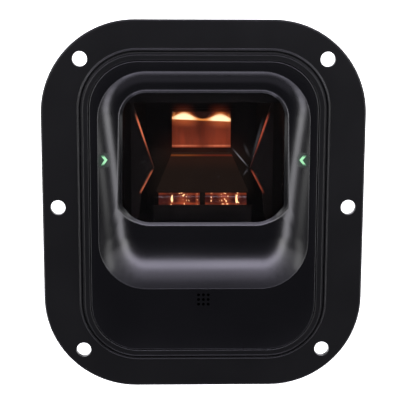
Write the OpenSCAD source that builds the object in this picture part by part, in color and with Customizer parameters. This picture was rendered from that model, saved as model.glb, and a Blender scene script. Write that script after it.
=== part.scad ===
// Fixed barcode reader for mounting behind a panel cut-out.
// X runs across the face, Z up the face, and the scan window looks along -Y.
// The origin is the middle of the mounting flange's back face.

/* [Mounting flange] */
// Flange left beside the housing
flange_side = 13.7; // [11:0.1:16]
// Flange left above and below the housing
flange_end = 11.1; // [9:0.1:14]
// Corner radius of the flange plate
flange_r = 31.5; // [26:0.5:36]
// Bevel on the flange's outer front edge
flange_bevel = 0.4; // [0.2:0.1:0.8]
// Thickness of the flange plate
flange_t = 2; // [1.5:0.25:4]
// Diameter of the six fixing holes
hole_d = 5; // [3:0.1:5.6]
// Distance of the corner holes from the flange's sides
hole_side = 13.25; // [12:0.25:15]
// Distance of the corner holes from the flange's ends
hole_end = 13; // [12:0.25:15]
// Distance of the two side holes from the flange's sides
side_hole_in = 5.25; // [4:0.25:6]
// Width of the raised land round the opening
land_w = 1; // [0.6:0.1:1.6]
// Height of the raised land above the plate
land_h = 0.6; // [0.3:0.1:1]
// Bevel on both front edges of the land
land_bevel = 0.3; // [0.1:0.05:0.3]
// Depth of the collar behind the plate
collar_depth = 10; // [9.5:0.5:14]
// Wall of the collar
collar_t = 1.8; // [1.2:0.1:2.2]

/* [Housing] */
// Width of the housing
body_w = 81.6; // [80:0.2:83]
// Height of the housing
body_h = 103.8; // [102.6:0.2:106]
// Corner radius of the housing
body_r = 18.75; // [17.75:0.25:20]
// Gap between the housing and the flange opening
body_gap = 0.5; // [0.3:0.1:0.8]
// Length of the housing from its front face to its rear edge
body_depth = 54; // [53:1:70]
// Wall of the housing
wall = 2.2; // [1.6:0.1:2.6]
// Width of the front frame round the cover
frame_w = 2.3; // [2.3:0.1:2.8]
// How far the frame stands proud of the flange
frame_proud = 2; // [1:0.1:3]
// Bevel on the frame's outer front edge
frame_bevel = 0.5; // [0.2:0.1:1]
// Bevel on the frame's inner front edge
groove_bevel = 0.2; // [0.1:0.05:0.4]
// Width of the ledge that carries the cover
ledge_w = 1.6; // [1.2:0.1:2]
// Thickness of the ledge
ledge_t = 2; // [1.5:0.1:3]

/* [Front cover] */
// Thickness of the cover plate
cover_t = 2; // [1.6:0.1:2.6]
// Gap between the cover and the frame
cover_gap = 0.25; // [0.1:0.05:0.4]
// Thickness of the seal under the cover
cover_seal_t = 0.5; // [0.3:0.1:0.8]
// Diameter of one sound hole
sound_hole_d = 1; // [0.6:0.1:1.3]
// Pitch of the sound holes
sound_pitch = 1.65; // [1.5:0.05:2]
// Distance of the sound holes below the recess
sound_below = 3.8; // [3.4:0.1:5]

/* [Scan recess] */
// Face left beside the recess, with the frame
rim_side = 5.3; // [4.9:0.05:5.7]
// Face left above the recess, with the frame
rim_above = 5.75; // [5.3:0.05:6.4]
// Face left below the recess, with the frame
rim_below = 24; // [23:0.1:25.5]
// How much the rim's corners are rounder than its wall is wide
rim_corner = 0.75; // [0.5:0.05:3]
// Depth of the recess floor below the rim's top edge
dish_top = 1.55; // [1.2:0.05:2.5]
// How much deeper the floor lies at the rim's bottom edge
dish_drop = 8.2; // [6:0.1:9]
// Width of the curved wall at the top of the rim
run_top = 6.4; // [5:0.1:6.6]
// Width of the curved wall at the bottom of the rim
run_bottom = 15.5; // [12:0.5:16]
// Wall of the recess behind its floor
dish_wall = 1.8; // [1.4:0.1:2.2]
// Wall of the recess beside its rim
dish_side = 1.35; // [1.1:0.05:1.8]
// How far the pane's frame stands behind the recess floor
seat_proud = 0.15; // [0.1:0.05:0.3]

/* [Scan window] */
// Recess left beside the opening's top
open_side_top = 8.3; // [7.6:0.1:9.2]
// Recess left beside the opening's bottom
open_side_bottom = 7.7; // [7:0.1:8.4]
// Recess left above the opening
open_above = 7.45; // [6.8:0.05:8.2]
// Recess left below the opening
open_below = 21.5; // [20:0.1:23]
// Radius of the opening's top corners
open_r = 8; // [7:0.5:12]
// How far above the bottom edge the lower corners begin
chin_rise = 6; // [4:0.2:7]
// Slope of the lower corners where they leave the sides
chin_angle = 52; // [45:1:60]
// Share of the slope at the chin's ends that its rounds may take
chin_round = 0.65; // [0.4:0.05:0.95]
// Thickness of the window pane
window_t = 1.5; // [1:0.1:2]
// How far the pane reaches past the opening
window_lap = 1; // [0.8:0.1:1.2]
// Thickness of the seal in front of the pane
window_seal_t = 0.5; // [0.3:0.1:0.8]

/* [Indicators] */
// Distance of the indicators in from the rim
mark_in = 2; // [1.6:0.05:2.2]
// Height of the indicators above the opening's middle
mark_rise = 0; // [-2:0.1:3]
// Width of one indicator
mark_w = 2.1; // [1.6:0.1:2.4]
// Height of one indicator
mark_h = 3.4; // [3:0.1:4.5]
// Stroke of the indicator's chevron
mark_stroke = 0.9; // [0.8:0.05:1.4]

/* [Optics] */
// Depth behind the light chamber's front plate that the electronics take
rear_room = 26.5; // [25:0.5:28]
// Wall of the light chamber
chamber_wall = 1.6; // [1.2:0.1:2]
// How far the chamber's mouth reaches beyond the opening at each side
chamber_over = 0.8; // [0:0.1:1]
// How far each side of the chamber comes in towards its back
chamber_taper = 8.3; // [7:0.1:9]
// How far each side of the mirror comes in towards its upper edge
mirror_taper = 5.5; // [4:0.1:7]
// Room beside the mirror's lower edge, inside the baffles' waist
mirror_room = 0.8; // [0.4:0.1:2]
// Rise of the mirror from its lower to its upper edge
mirror_rise = 12; // [10:0.5:13]
// Thickness of the mirror
mirror_t = 1.2; // [0.8:0.1:2]
// How much wider the upper lamp's lens is than the mirror's upper edge
lamp_over = 0; // [-3:0.5:2]
// Height of the upper lamp's lens
lamp_h = 8.5; // [7:0.5:10]
// Diameter of the camera lens barrel
barrel_d = 8; // [6:0.5:10]

/* [Electronics and rear] */
// Room beside the main board, from the housing's side
board_side = 7.4; // [6:0.1:10]
// Room above and below the main board, from the housing's ends
board_end = 15.6; // [14.5:0.1:18]
// Thickness of the circuit boards
pcb_t = 1.6; // [1:0.1:2]
// Thickness of the rear cover
rear_t = 3; // [2.6:0.1:4]
// Bevel on the rear cover's outer edge
rear_bevel = 1; // [0.4:0.1:1.5]
// Width of the socket
jack_w = 15.6; // [15:0.1:18]
// Height of the socket
jack_h = 13.4; // [13:0.1:15]
// Height of the socket's centre above the housing's lower end
jack_rise = 29.9; // [27:0.1:40]
// Thread diameter of the assembly screws
screw_d = 2.8; // [2.2:0.1:3]

/* [Hidden] */
$fn = 96;

// Overlap that makes cuts come out clean
eps = 0.2;
// Room round a screw in its clearance hole, and round pieces that only lie side by side
hole_room = 0.4;
side_room = 0.3;
// Room on radius between a thread and what it is screwed into
thread_room = 0.05;
// Room that keeps a seal from biting into the cover
seal_room = 0.02;

// Flange and its holes
flange_w = body_w + 2 * flange_side;
flange_h = body_h + 2 * flange_end;
corner_hole_x = flange_w - 2 * hole_side;
corner_hole_z = flange_h - 2 * hole_end;
side_hole_x = flange_w - 2 * side_hole_in;

// Places along Y, from the front to the rear
y_front = -(flange_t + frame_proud);
y_cover_back = y_front + cover_t;
y_ledge = y_cover_back + cover_seal_t;
y_rear = y_front + body_depth;

// Flange opening and the outlines inside the housing
opening_w = body_w + 2 * body_gap;
opening_h = body_h + 2 * body_gap;
opening_r = body_r + body_gap;
corner_x = body_w / 2 - body_r;
corner_z = body_h / 2 - body_r;

// Recess floor, a plane that leans back towards the bottom
rim_top = body_h / 2 - rim_above;
rim_bottom = rim_below - body_h / 2;
rim_w = body_w - 2 * rim_side;
rim_h = rim_top - rim_bottom;
rim_z = (rim_top + rim_bottom) / 2;
rim_r = run_bottom + rim_corner;
sound_z = rim_bottom - sound_below;
dish_slope = dish_drop / rim_h;
floor_tilt = atan(dish_slope);
corner_steps = 10;
side_steps = 5;
wall_steps = 8;

// Opening, indicators, pane and the seals before and behind it
open_w_top = rim_w - 2 * open_side_top;
open_w_bottom = rim_w - 2 * open_side_bottom;
open_h = rim_h - open_above - open_below;
open_z = rim_bottom + open_below + open_h / 2;
mark_x = rim_w / 2 - mark_in;
mark_z = open_z + mark_rise;
pane_w = max(open_w_top, open_w_bottom) + 2 * window_lap;
pane_h = open_h + 3.2 * window_lap;
pane_r = open_r - 1;
y_pane = y_front + floor_depth(open_z) + dish_wall + window_seal_t;
chamber_seal_t = 0.6;
frame_lap = 2.2;

// Light chamber
plate_gap = 1.1;
plate_t = 2.5;
plate_w = rim_w + 1;
plate_above = 2;
plate_below = 8.05;
plate_r = 14;
y_plate = y_pane + dish_slope * pane_h / 2 + window_t + chamber_seal_t + plate_gap;
y_inside = y_plate + plate_t;
chamber_depth = body_depth - rear_room;
y_chamber_back = y_plate + chamber_depth;
chamber_front_w = open_w_bottom + 2 * chamber_over;
chamber_back_w = chamber_front_w - 2 * chamber_taper;
ceiling_z = open_z + open_h / 2 + 1.5;
floor_z = open_z - open_h / 2 - 1.2;
chamber_h = ceiling_z - floor_z;
plate_top = rim_top - plate_above;
plate_low = floor_z - chamber_wall - plate_below;
plate_h = plate_top - plate_low;
plate_z = (plate_top + plate_low) / 2;

// Mirror at 45 degrees under the camera
mirror_depth_share = 0.2727;
mirror_low_y = y_plate + mirror_depth_share * chamber_depth;
mirror_share = 0.221;
mirror_low_z = floor_z + mirror_share * chamber_h;
mirror_mid_y = mirror_low_y + mirror_rise / 2;

// Lower lamp in front of the mirror's foot
lamp_shelf_z = mirror_low_z - 6;
lower_pcb_t = 1;
lower_lens_h = 4;
lower_lens_gap = 2;
lower_lens_d = 4;
lower_lens_y = mirror_low_y - lower_lens_d / 2 - 1.7;
lower_lens_in = 0.8;
lower_led_t = 0.6;
lower_board_front = lower_lens_d / 2 + 0.2;
shelf_lip = 0.7;

// Upper lamp on the chamber's back wall
lamp_share = 0.5894;
upper_lamp_z = floor_z + lamp_share * chamber_h;
upper_led_h = 4.5;
lamp_pcb_t = 1.2;
y_lamp_board = y_chamber_back - chamber_wall - lamp_pcb_t;
led_t = 0.9;
upper_lens_t = 2.4;

// Side baffles, waisted like an hourglass
baffle_t = 1.2;
y_baffle = mirror_low_y + 2.5;
waist_in = 3.3;
waist_rise = 7.5;
baffle_strip = 0.9;
baffle_foot = 5.5;
baffle_shoulder = 7;
waist_x = chamber_back_w / 2 - waist_in;
waist_z = mirror_low_z + waist_rise;
mirror_bottom_w = 2 * (waist_x - mirror_room);
mirror_top_w = mirror_bottom_w - 2 * mirror_taper;
lamp_w = mirror_top_w + lamp_over;

// Camera that looks down on the mirror
camera_w = 18;
camera_h = 4.5;
barrel_drop = 1.6;
camera_board_t = 1.2;
sensor_w = 6.8;
sensor_t = 1;
camera_z = ceiling_z + chamber_wall;

// Screws and bosses
boss_d = 4.6;
column_d = 7;
head_d = screw_d + 2.4;
head_h = 1.8;
column_off = body_r - wall - column_d / 2 + 0.6;
column_x = corner_x + column_off * cos(45);
column_z = corner_z + column_off * sin(45);
boss_share = 0.36;
boss_in = 6.8;
boss_below = 3.6;
chamber_boss = [[(pane_w + boss_d) / 2 + hole_room + 2 * chamber_over, open_z + boss_share * open_h],
                [pane_w / 2 - boss_in, open_z - pane_h / 2 - boss_d / 2 - boss_below]];
cover_boss_in = [14.4, 12.6];
cover_boss = [body_w / 2 - cover_boss_in[0], cover_boss_in[1] - body_h / 2];
cover_boss_l = 7;
cover_ear_t = 2.5;
collar_screw_in = 27.6;
collar_screw_z = body_h / 2 - collar_screw_in;
collar_screw_y = 6.5;
insert_d = 4.4;
insert_l = 3.6;
insert_wall = 0.8;

// Beeper behind the sound holes, below the back of the recess
beeper_d = 9.6;
beeper_l = 5;
beeper_gasket_t = 0.6;
beeper_z = min(sound_z, rim_bottom - dish_side - side_room - beeper_d / 2);

// Boards behind the chamber
standoff_l = 3;
standoff_d = 5.4;
standoff_x = 15;
y_board = y_chamber_back + standoff_l;
y_board_back = y_board + pcb_t;
board_screw_in = [8, 3.2];
board_screw_z = [ceiling_z - board_screw_in[0], floor_z + board_screw_in[1]];
board_w = body_w - 2 * board_side;
board_h = body_h - 2 * board_end;
ribbon_w = 10;
ribbon_t = 0.4;
ribbon_socket_z = board_h / 2 - 4;

// Chips on the main board: place across and up, width, height and thickness
chips = [[0, 14, 14, 14, 1.4], [-22.5, 14.5, 9, 9, 1.1], [23, 15.5, 8, 7, 1.1]];
capacitor_x = [-26, -20, 20, 26];
capacitor = [4, 5, 2];
capacitor_z = -5.5;

// Rear cover and socket
jack_z = jack_rise - body_h / 2;
rear_seal_t = 0.6;
lip_t = 2;
lip_l = 3;
y_cover = y_rear + rear_seal_t;
y_rear_face = y_cover + rear_t;
column_end = y_rear - lip_l - 1;
mouth_w = 11.8;
mouth_h = 6.8;
mouth_depth = 10.5;
contact_count = 10;
contact_pitch = 1.02;

// Shape helpers
module along_y(y0, y1) {
    translate([0, y1, 0]) rotate([90, 0, 0]) linear_extrude(y1 - y0) children();
}

module along_x(x0, x1) {
    translate([x0, 0, 0]) rotate([90, 0, 90]) linear_extrude(x1 - x0) children();
}

module block(x, y, z) {
    translate([x[0], y[0], z[0]]) cube([x[1] - x[0], y[1] - y[0], z[1] - z[0]]);
}

module rod_y(d, y0, y1) {
    translate([0, y1, 0]) rotate([90, 0, 0]) cylinder(d = d, h = y1 - y0);
}

module rod_x(d, x0, x1) {
    translate([x0, 0, 0]) rotate([0, 90, 0]) cylinder(d = d, h = x1 - x0);
}

module rounded(w, h, r) {
    square([w - 2 * r, h], center = true);
    square([w, h - 2 * r], center = true);
    for (sx = [-1, 1], sz = [-1, 1]) {
        translate([sx * (w / 2 - r), sz * (h / 2 - r)]) circle(r);
    }
}

module inset(d) {
    rounded(body_w - 2 * d, body_h - 2 * d, body_r - d);
}

// Room that the frame's ledge leaves for the back of the recess
module recess_room() {
    grow = dish_side + side_room;
    translate([0, rim_z]) rounded(rim_w + 2 * grow, rim_h + 2 * grow, rim_r + grow);
}

// Sweeps a section round a rounded outline: x outward from the outline, y towards the front
module sweep_round(w, h, r) {
    rotate([90, 0, 0]) for (k = [0:3]) {
        sx = k == 0 || k == 3 ? 1 : -1;
        sy = k < 2 ? 1 : -1;
        straight = k % 2 == 0 ? w - 2 * r : h - 2 * r;
        translate([sx * (w / 2 - r), sy * (h / 2 - r), 0]) {
            rotate([0, 0, 90 * k]) rotate_extrude(angle = 90) translate([r, 0]) children();
            rotate([0, 0, 90 * (k + 1)]) translate([0, straight, 0]) rotate([90, 0, 0])
                linear_extrude(straight) translate([r, 0]) children();
        }
    }
}

// Section that takes a bevel off an edge at y, outside (1) or inside (-1) an outline, front (1) or rear (-1)
module bevel_section(size, y, side = 1, face = 1) {
    e = eps;
    polygon([[-side * (size + e), -y + face * e], [side * e, -y - face * (size + e)],
             [side * e, -y + face * e]]);
}

// One of four like pieces, placed across and up and turned to face outward along X
module four_sides(y, z) {
    for (sx = [0, 1], sz = [-1, 1]) translate([0, y, sz * z]) mirror([sx, 0, 0]) children();
}

module four_corners(x, z) {
    for (sx = [-1, 1], sz = [-1, 1]) translate([sx * x, 0, sz * z]) children();
}

module side_pair(place) {
    for (sx = [-1, 1]) translate([sx * place[0], 0, place[1]]) children();
}

module mirrored() {
    children();
    mirror([1, 0, 0]) children();
}

module screw_y(y_head, y_tip) {
    rod_y(head_d, min(y_head, y_head + sign(y_head - y_tip) * head_h),
          max(y_head, y_head + sign(y_head - y_tip) * head_h));
    rod_y(screw_d, min(y_head, y_tip), max(y_head, y_tip));
}

// Outline with rounded corners, from its corner points and their radii
function unit(v) = v / norm(v);

function turned(v, a) = [v[0] * cos(a) - v[1] * sin(a), v[0] * sin(a) + v[1] * cos(a)];

function corner_arc(a, b, c, r, steps = 10) =
    let (
        u = unit(a - b),
        v = unit(c - b),
        half = acos(u * v) / 2,
        centre = b + unit(u + v) * r / sin(half),
        start = b + u * r / tan(half) - centre,
        turn = sign(cross(c - b, b - a)) * (180 - 2 * half)
    ) [for (i = [0:steps]) centre + turned(start, -turn * i / steps)];

function round_outline(pts, radii) =
    let (n = len(pts))
    [for (i = [0:n - 1]) each radii[i] > 0
        ? corner_arc(pts[(i + n - 1) % n], pts[i], pts[(i + 1) % n], radii[i])
        : [pts[i]]];

// Scan recess: a loft from the rim, down a curved wall, to the leaning floor
function floor_depth(z) = dish_top + dish_slope * (rim_top - z);

function rim_share(z) = (rim_top - z) / rim_h;

function wall_run(z) = run_top + (run_bottom - run_top) * rim_share(z);

// Stations round the rim, each a point and its outward direction
function rim_corner(sx, sz, a0) = [
    for (i = [0:corner_steps]) let (a = a0 + 90 * i / corner_steps)
    [[sx * (rim_w / 2 - rim_r) + rim_r * cos(a), rim_z + sz * (rim_h / 2 - rim_r) + rim_r * sin(a)],
     [cos(a), sin(a)]]
];

function between(a, b) = [
    for (i = [1:side_steps - 1]) let (t = i / side_steps)
    [a[0] * (1 - t) + b[0] * t, a[1]]
];

function rim_stations() =
    let (
        c = [rim_corner(1, 1, 0), rim_corner(-1, 1, 90), rim_corner(-1, -1, 180), rim_corner(1, -1, 270)]
    )
    [for (k = [0:3]) each concat(c[k], between(c[k][corner_steps], c[(k + 1) % 4][0]))];

// One loop of the loft, at a share s of the way from the rim to the floor
function dish_loop(stations, s, grow, drop) = [
    for (st = stations)
    let (
        run = wall_run(st[0][1]),
        foot = st[0] - st[1] * run,
        at = st[0] - st[1] * run * s + st[1] * grow,
        depth = floor_depth(foot[1] + st[1][1] * grow) * (1 - (1 - s) * (1 - s)) + drop
    )
    [at[0], y_front + depth, at[1]]
];

function middle(loop) = [for (k = [0:2]) [for (p = loop) p[k]] * [for (p = loop) 1] / len(loop)];

module dish(grow, drop, lead) {
    stations = rim_stations();
    n = len(stations);
    mouth = [for (p = dish_loop(stations, 0, grow, 0)) [p[0], y_front - lead, p[2]]];
    loops = concat([mouth], [for (k = [0:wall_steps]) dish_loop(stations, k / wall_steps, grow, drop)]);
    last = len(loops) - 1;
    points = concat([for (loop = loops) each loop], [middle(mouth), middle(loops[last])]);
    skin = [
        for (k = [0:last - 1], i = [0:n - 1])
        let (a = k * n + i, b = k * n + (i + 1) % n, c = a + n, d = b + n)
        each [[a, b, d], [a, d, c]]
    ];
    front = [for (i = [0:n - 1]) [(i + 1) % n, i, (last + 1) * n]];
    base = [for (i = [0:n - 1]) [last * n + i, last * n + (i + 1) % n, (last + 1) * n + 1]];
    polyhedron(points, concat(front, skin, base), convexity = 6);
}

// Outline of the scan opening
function opening_outline() =
    let (
        top = open_z + open_h / 2,
        low = open_z - open_h / 2,
        wt = open_w_top / 2,
        wb = open_w_bottom / 2,
        kink = low + chin_rise,
        kx = wb - chin_rise / tan(chin_angle),
        chin_r = chin_rise / sin(chin_angle) * tan(90 - chin_angle / 2) * chin_round
    )
    round_outline(
        [[wt, top], [-wt, top], [-wb, kink], [-kx, low], [kx, low], [wb, kink]],
        [open_r, open_r, 0, chin_r, chin_r, 0]);

// Places anything in the plane of the pane, with its front face at zero
module on_pane(back = 0) {
    translate([0, y_pane + back / cos(floor_tilt), open_z]) rotate([floor_tilt, 0, 0]) children();
}

module pane_outline(grow = 0) {
    rounded(pane_w + 2 * grow, pane_h + 2 * grow, pane_r + grow);
}

// A chevron that points to the middle, drawn for the left side
module chevron(room = 0) {
    half = mark_h / 2 + room;
    s = mark_stroke + 2 * room;
    left = -mark_w / 2 - room;
    right = mark_w / 2 + room;
    polygon([[left, -half], [left + s, -half], [right, 0], [left + s, half], [left, half], [right - s, 0]]);
}

// Mounting

module mounting_flange() {
    color("#1c1c1f") difference() {
        union() {
            along_y(-flange_t, 0) rounded(flange_w, flange_h, flange_r);
            along_y(-flange_t - land_h, -flange_t / 2)
                rounded(opening_w + 2 * land_w, opening_h + 2 * land_w, opening_r + land_w);
            along_y(-flange_t / 2, collar_depth)
                rounded(opening_w + 2 * collar_t, opening_h + 2 * collar_t, opening_r + collar_t);
        }
        along_y(-flange_t - land_h - eps, collar_depth + eps) rounded(opening_w, opening_h, opening_r);
        sweep_round(flange_w, flange_h, flange_r) bevel_section(flange_bevel, -flange_t);
        sweep_round(opening_w + 2 * land_w, opening_h + 2 * land_w, opening_r + land_w)
            bevel_section(land_bevel, -flange_t - land_h);
        sweep_round(opening_w, opening_h, opening_r) bevel_section(land_bevel, -flange_t - land_h, -1);
        four_corners(corner_hole_x / 2, corner_hole_z / 2) rod_y(hole_d, -flange_t - eps, eps);
        side_pair([side_hole_x / 2, 0]) rod_y(hole_d, -flange_t - eps, eps);
        four_sides(collar_screw_y, collar_screw_z) rod_x(screw_d + hole_room, body_w / 2, body_w);
    }
}

module collar_seal() {
    color("#0a0a0a") difference() {
        along_y(-flange_t, collar_depth / 4) rounded(opening_w, opening_h, opening_r);
        along_y(-flange_t - eps, collar_depth / 4 + eps) inset(0);
    }
}

module collar_screws() {
    x_out = opening_w / 2 + collar_t;
    color("#2a2a2c") four_sides(collar_screw_y, collar_screw_z) {
        rod_x(head_d, x_out, x_out + head_h);
        rod_x(screw_d, body_w / 2 - insert_l, x_out);
    }
}

module thread_inserts() {
    color("#b58b3c") four_sides(collar_screw_y, collar_screw_z) difference() {
        rod_x(insert_d, body_w / 2 - insert_l, body_w / 2 - thread_room);
        rod_x(screw_d + 2 * thread_room, body_w / 2 - insert_l - eps, body_w / 2 + eps);
    }
}

// Housing

module housing() {
    color("#161618") difference() {
        union() {
            difference() {
                along_y(y_front, y_rear) inset(0);
                along_y(y_front - eps, y_ledge) inset(frame_w);
                along_y(y_front, y_ledge + ledge_t + eps) inset(frame_w + ledge_w);
                along_y(y_front, y_ledge + ledge_t + eps) recess_room();
                along_y(y_ledge + ledge_t, y_rear + eps) inset(wall);
                sweep_round(body_w, body_h, body_r) bevel_section(frame_bevel, y_front);
                sweep_round(body_w - 2 * frame_w, body_h - 2 * frame_w, body_r - frame_w)
                    bevel_section(groove_bevel, y_front, -1);
            }
            intersection() {
                along_y(y_front, y_rear) inset(wall / 2);
                housing_bosses();
            }
        }
        four_corners(column_x, column_z) rod_y(screw_d + 2 * thread_room, column_end - 12, column_end + eps);
        four_sides(collar_screw_y, collar_screw_z) rod_x(insert_d, body_w / 2 - insert_l, body_w);
        side_pair(cover_boss)
            rod_y(screw_d + hole_room, y_cover_back, y_cover_back + cover_boss_l + cover_ear_t + eps);
    }
}

module housing_bosses() {
    y_ear = y_cover_back + cover_boss_l;
    four_corners(column_x, column_z) rod_y(column_d, column_end - 20, column_end);
    four_sides(collar_screw_y, collar_screw_z)
        rod_x(insert_d + 3 * insert_wall, body_w / 2 - insert_l - insert_wall, body_w / 2);
    side_pair([cover_boss[0], 0])
        block([-4, 4], [y_ear, y_ear + cover_ear_t], [-body_h / 2, cover_boss[1] + 4]);
}

// Front cover, with the scan recess moulded into it

module front_cover() {
    color("#151517") difference() {
        union() {
            along_y(y_front, y_cover_back) inset(frame_w + cover_gap);
            dish(dish_side, dish_wall - seat_proud, 0);
            on_pane(-window_seal_t * cos(floor_tilt))
                along_y(-dish_wall - 2 * eps, 0) pane_outline(frame_lap - window_lap);
            for (b = chamber_boss) side_pair(b) rod_y(boss_d, y_cover_back - eps, y_plate);
            side_pair(cover_boss) rod_y(boss_d, y_cover_back - eps, y_cover_back + cover_boss_l);
        }
        dish(0, 0, eps);
        along_y(y_front, y_plate) polygon(opening_outline());
        for (b = chamber_boss) side_pair(b) rod_y(screw_d + 2 * thread_room, y_plate - 4, y_plate + eps);
        side_pair(cover_boss)
            rod_y(screw_d + 2 * thread_room, y_cover_back + 1, y_cover_back + cover_boss_l + eps);
        for (i = [-1:1], k = [-1:1])
            translate([i * sound_pitch, 0, sound_z + k * sound_pitch])
                rod_y(sound_hole_d, y_front - eps, y_cover_back + eps);
        mirrored() translate([-mark_x, 0, mark_z]) along_y(y_front - eps, y_plate) chevron(0.08);
    }
}

module cover_seal() {
    color("#0a0a0a") difference() {
        along_y(y_cover_back + seal_room, y_ledge) inset(frame_w + cover_gap);
        along_y(y_cover_back - eps, y_ledge + eps) inset(frame_w + ledge_w);
        along_y(y_cover_back - eps, y_ledge + eps) recess_room();
    }
}

module cover_screws() {
    y_head = y_cover_back + cover_boss_l + cover_ear_t;
    color("#8d8d90") side_pair(cover_boss) screw_y(y_head, y_cover_back + 2);
}

// Window

module window() {
    color("#2a1512", 0.35) on_pane() along_y(0, window_t) pane_outline();
}

module window_seal() {
    color("#0a0a0a") on_pane() difference() {
        along_y(-window_seal_t * cos(floor_tilt), 0) pane_outline();
        along_y(-window_seal_t, eps) pane_outline(-window_lap / 2);
    }
}

module chamber_seal() {
    color("#0a0a0a") on_pane(window_t) difference() {
        along_y(0, chamber_seal_t) pane_outline();
        along_y(-eps, chamber_seal_t + eps) pane_outline(-window_lap / 2);
    }
}

// Indicators

module indicator() {
    base_y = y_front + floor_depth(mark_z) + dish_wall + side_room + 0.3;
    difference() {
        union() {
            translate([-mark_x, 0, mark_z]) along_y(y_front, base_y + 1) chevron();
            block([-mark_x - 2, -mark_x + 1.4], [base_y, y_plate - 1 - led_t - side_room],
                  [mark_z - mark_h, mark_z + mark_h]);
        }
        dish(0, 0, eps);
    }
}

module indicator_left() {
    color("#7dff9a") indicator();
}

module indicator_right() {
    color("#7dff9a") mirror([1, 0, 0]) indicator();
}

module indicator_boards() {
    color("#0f4a2a") mirrored()
        block([-mark_x - 2, -mark_x + 1.4], [y_plate - 1, y_plate], [mark_z - 5, mark_z + 5]);
}

module indicator_leds() {
    color("#e8ffe8") mirrored()
        block([-mark_x - 1, -mark_x + 1], [y_plate - 1 - led_t, y_plate - 1], [mark_z - 0.8, mark_z + 0.8]);
}

// Beeper

module beeper() {
    y0 = y_cover_back + beeper_gasket_t;
    color("#101012") translate([0, 0, beeper_z]) difference() {
        rod_y(beeper_d, y0, y0 + beeper_l);
        rod_y(beeper_d - 4, y0 - eps, y0 + 1.5);
    }
}

module beeper_gasket() {
    color("#0a0a0a") translate([0, 0, beeper_z]) difference() {
        rod_y(beeper_d, y_cover_back, y_cover_back + beeper_gasket_t);
        rod_y(beeper_d - 2.2, y_cover_back - eps, y_cover_back + beeper_gasket_t + eps);
    }
}

// Light chamber

module chamber_plan(grow, y0, y1) {
    front = chamber_front_w / 2 + grow;
    rear = chamber_back_w / 2 + grow;
    polygon([[-front, y0], [front, y0], [rear, y1], [-rear, y1]]);
}

module light_chamber() {
    color("#19181a") difference() {
        union() {
            along_y(y_plate, y_inside) translate([0, plate_z]) rounded(plate_w, plate_h, plate_r);
            translate([0, 0, floor_z - chamber_wall])
                linear_extrude(ceiling_z - floor_z + 2 * chamber_wall)
                    chamber_plan(chamber_wall, y_plate, y_chamber_back);
            on_pane(window_t + chamber_seal_t) along_y(0, y_plate) pane_outline();
            for (z = board_screw_z) side_pair([standoff_x, z]) rod_y(standoff_d, y_chamber_back - 1, y_board);
        }
        translate([0, 0, floor_z]) linear_extrude(ceiling_z - floor_z)
            chamber_plan(0, y_inside, y_chamber_back - chamber_wall);
        along_y(y_pane, y_inside + eps) translate([0, open_z])
            rounded(pane_w - 2 * window_lap, pane_h - 2 * window_lap, pane_r - window_lap);
        translate([0, mirror_mid_y, ceiling_z - eps])
            cylinder(d = barrel_d + hole_room, h = chamber_wall + 2 * eps);
        for (b = chamber_boss) side_pair(b) rod_y(screw_d + hole_room, y_plate - eps, y_inside + eps);
        for (z = board_screw_z)
            side_pair([standoff_x, z]) rod_y(screw_d + 2 * thread_room, y_board - 4, y_board + eps);
    }
    color("#19181a") lamp_shelf();
}

// Moulded step on the chamber floor that carries the lower lamp and the mirror
module lamp_shelf() {
    half = mirror_bottom_w / 2 + 1;
    front = lower_lens_y - lower_board_front - side_room;
    block([-half, half], [front - shelf_lip, y_chamber_back - chamber_wall / 2],
          [floor_z - chamber_wall / 2, lamp_shelf_z]);
    block([-half, half], [front - shelf_lip, front],
          [lamp_shelf_z - eps, lamp_shelf_z + lower_pcb_t + lower_led_t + side_room]);
}

module chamber_screws() {
    color("#8d8d90") for (b = chamber_boss) side_pair(b) screw_y(y_inside, y_plate - 3.5);
}

module baffle() {
    out = chamber_front_w / 2 - (chamber_front_w - chamber_back_w) / 2
        * (y_baffle + baffle_t - y_inside) / (y_chamber_back - chamber_wall - y_inside) - side_room;
    along_y(y_baffle, y_baffle + baffle_t)
        polygon([[-out, floor_z], [-waist_x - baffle_foot, floor_z],
                 [-waist_x - baffle_foot + 1, mirror_low_z - 1],
                 [-waist_x, waist_z], [baffle_strip - out, ceiling_z - baffle_shoulder],
                 [baffle_strip - out, ceiling_z], [-out, ceiling_z]]);
}

module baffle_left() {
    color("#211c1a") baffle();
}

module baffle_right() {
    color("#211c1a") mirror([1, 0, 0]) baffle();
}

module on_mirror() {
    translate([0, mirror_low_y, mirror_low_z]) rotate([-45, 0, 0]) children();
}

module fold_mirror() {
    long = mirror_rise * sqrt(2);
    color("#4a4648") on_mirror() along_y(0, mirror_t)
        polygon([[-mirror_bottom_w / 2, 0], [mirror_bottom_w / 2, 0],
                 [mirror_top_w / 2, long], [-mirror_top_w / 2, long]]);
}

// Wedge under the mirror, standing on the moulded step
module mirror_wedge() {
    half = mirror_top_w / 2 - 1;
    back = mirror_t * sqrt(2);
    color("#19181a") along_x(-half, half)
        polygon([[mirror_low_y + back, lamp_shelf_z],
                 [mirror_low_y + back, mirror_low_z],
                 [mirror_low_y + back + mirror_rise - 1, mirror_low_z + mirror_rise - 1],
                 [mirror_low_y + back + mirror_rise - 1, lamp_shelf_z]]);
}

// Lamps

module upper_lamp_board() {
    color("#123a26") block([-lamp_w / 2 - 1, lamp_w / 2 + 1], [y_lamp_board, y_lamp_board + lamp_pcb_t],
                           [upper_lamp_z - lamp_h / 2 - 1, upper_lamp_z + lamp_h / 2 + upper_led_h + 1]);
}

module upper_lamp_leds() {
    z = upper_lamp_z + lamp_h / 2 + upper_led_h / 2;
    color("#fff0dc") mirrored() translate([lamp_w * 0.3, 0, z])
        block([-1.7, 1.7], [y_lamp_board - led_t, y_lamp_board], [-1.4, 1.4]);
}

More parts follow.
